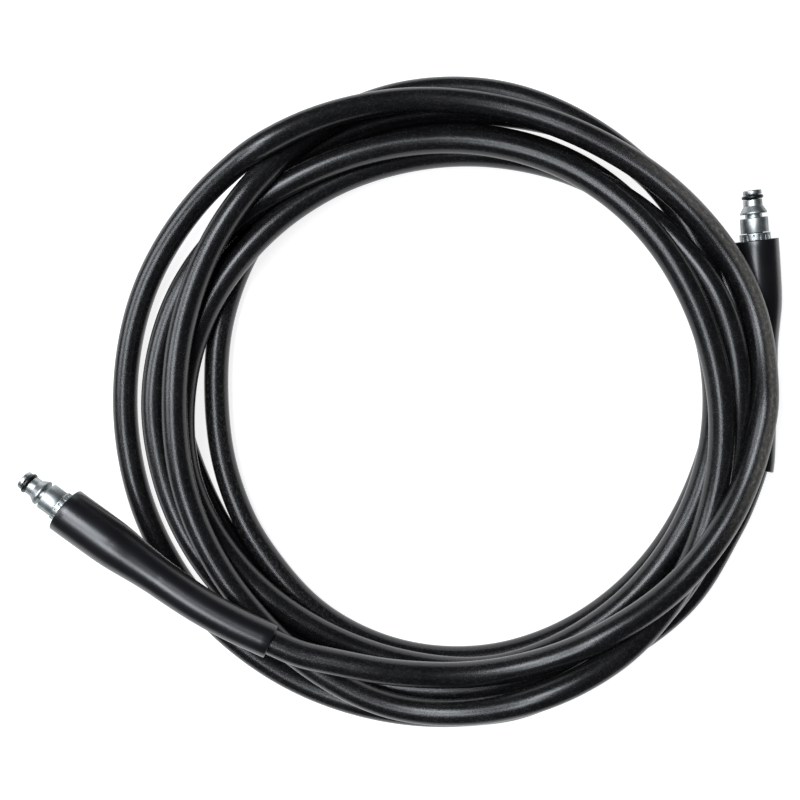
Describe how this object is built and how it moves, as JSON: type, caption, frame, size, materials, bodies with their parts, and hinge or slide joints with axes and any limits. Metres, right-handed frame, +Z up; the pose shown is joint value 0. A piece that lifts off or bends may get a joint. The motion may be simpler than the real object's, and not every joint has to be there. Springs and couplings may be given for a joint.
{
  "type": "high-pressure hose",
  "caption": "Rubber pressure hose laid in a loose flat coil, with a rubber bend sleeve and a push-in steel coupling plug at each end.",
  "frame": {"origin": "middle of the whole coiled hose's footprint, on the floor it lies on", "axes": "+Z up out of the coil, +X towards the end that lies on the floor, +Y the way that end's plug points"},
  "size_m": [0.3969, 0.3446, 0.055],
  "materials": {
    "hose_rubber": "semi-matt black rubber cover with fine grain and light dust",
    "sleeve_rubber": "satin moulded black rubber",
    "seal_rubber": "smooth black seal rubber",
    "zinc_plated_steel": "bright zinc plating on turned steel"
  },
  "bodies": {
    "root": {"hose_coil": "hose_rubber", "hose_lead_a": "hose_rubber", "hose_lead_b": "hose_rubber", "bend_sleeve_a": "sleeve_rubber", "bend_sleeve_b": "sleeve_rubber", "crimp_ferrule_a": "zinc_plated_steel", "crimp_ferrule_b": "zinc_plated_steel", "plug_a": "zinc_plated_steel", "plug_b": "zinc_plated_steel", "o_ring_a": "seal_rubber", "o_ring_b": "seal_rubber"}
  },
  "joints": []
}
